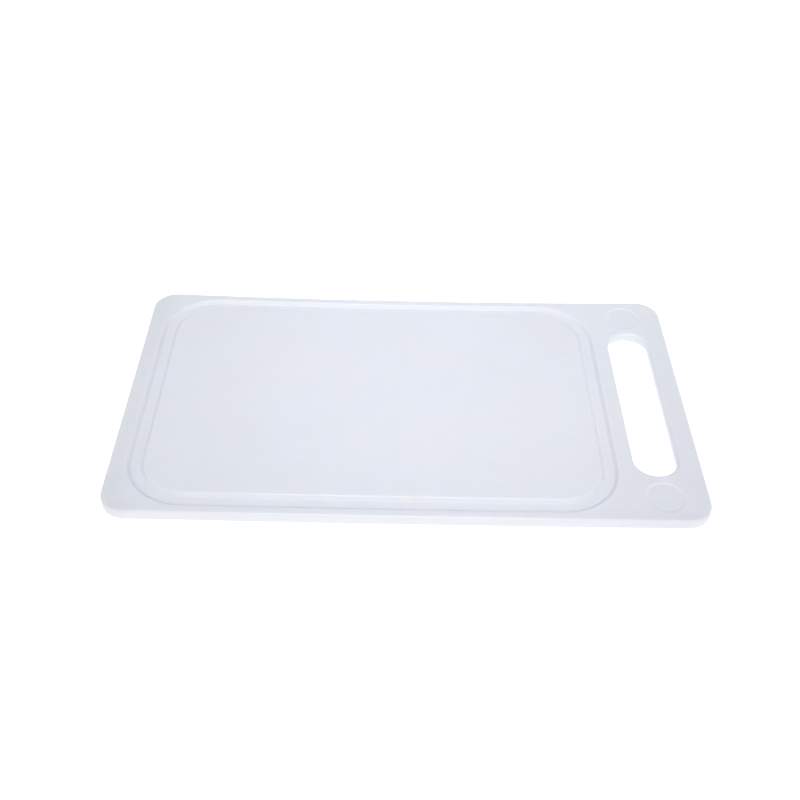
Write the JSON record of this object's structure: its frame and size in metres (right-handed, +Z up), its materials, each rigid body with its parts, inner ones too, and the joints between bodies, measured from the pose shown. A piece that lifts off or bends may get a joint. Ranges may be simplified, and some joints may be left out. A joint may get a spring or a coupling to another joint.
{
  "type": "cutting board",
  "caption": "Rectangular moulded plastic cutting board with a juice groove round the cutting field, a long hand slot at one end and soft grip feet.",
  "frame": {"origin": "middle of the footprint, on the plane that the feet stand on", "axes": "+X along the board towards the hand slot, +Y to the back, +Z up out of the cutting face"},
  "size_m": [0.35, 0.2, 0.0096],
  "materials": {
    "board_plastic": "fine moulded satin, natural white polyethylene",
    "foot_rubber": "soft satin, white thermoplastic elastomer"
  },
  "bodies": {
    "root": {"board": "board_plastic", "foot_front_right": "foot_rubber", "foot_rear_right": "foot_rubber", "foot_front_left": "foot_rubber", "foot_rear_left": "foot_rubber"}
  },
  "joints": []
}
